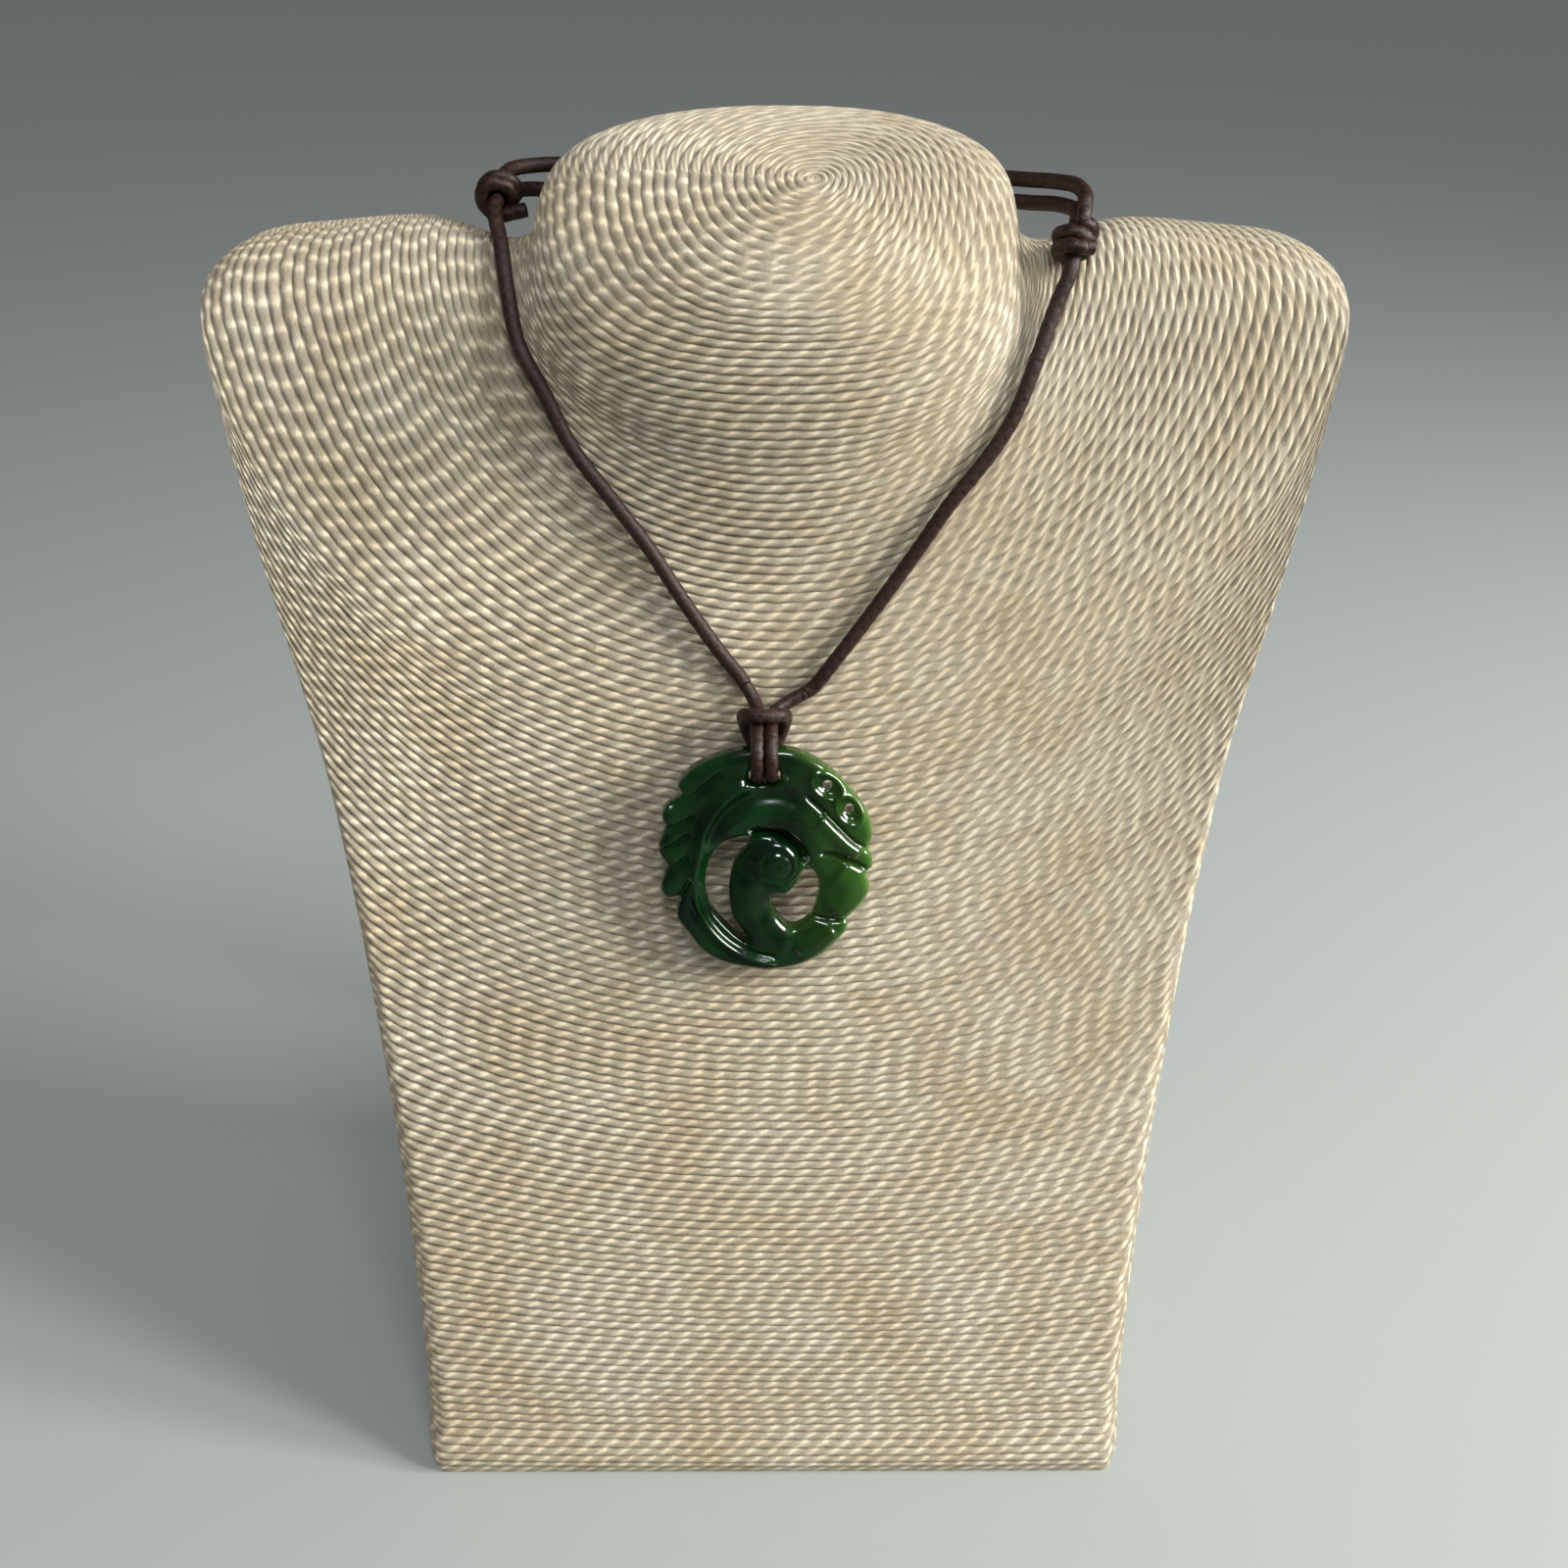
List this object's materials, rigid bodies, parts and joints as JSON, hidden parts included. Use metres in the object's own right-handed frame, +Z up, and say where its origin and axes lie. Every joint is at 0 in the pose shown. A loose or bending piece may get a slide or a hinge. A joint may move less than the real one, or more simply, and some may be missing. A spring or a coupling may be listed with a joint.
{
  "type": "carved jade pendant on a knotted cord with its rope-wound neck bust",
  "caption": "Flat, pierced green jade pendant carved as a coiled, feathered head, on a knotted brown cord round a plain rope-wound neck bust.",
  "frame": {"origin": "middle of the bust's flat base, on the surface it stands on", "axes": "+Z up, -Y the way the chest and the pendant face, +X to the right seen from the front"},
  "size_m": [0.223, 0.105, 0.307],
  "materials": {
    "straw_rope": "coarse twisted straw-coloured rope wound in rows",
    "green_jade": "polished, slightly translucent deep green",
    "waxed_cord": "finely plaited waxed cord",
    "waxed_cord_knot": "the same cord, pulled tight"
  },
  "bodies": {
    "root": {"bust": "straw_rope", "pendant": "green_jade", "hitch": "waxed_cord_knot", "cord_left": "waxed_cord", "cord_right": "waxed_cord", "knot_left": "waxed_cord_knot", "knot_right": "waxed_cord_knot"}
  },
  "joints": []
}
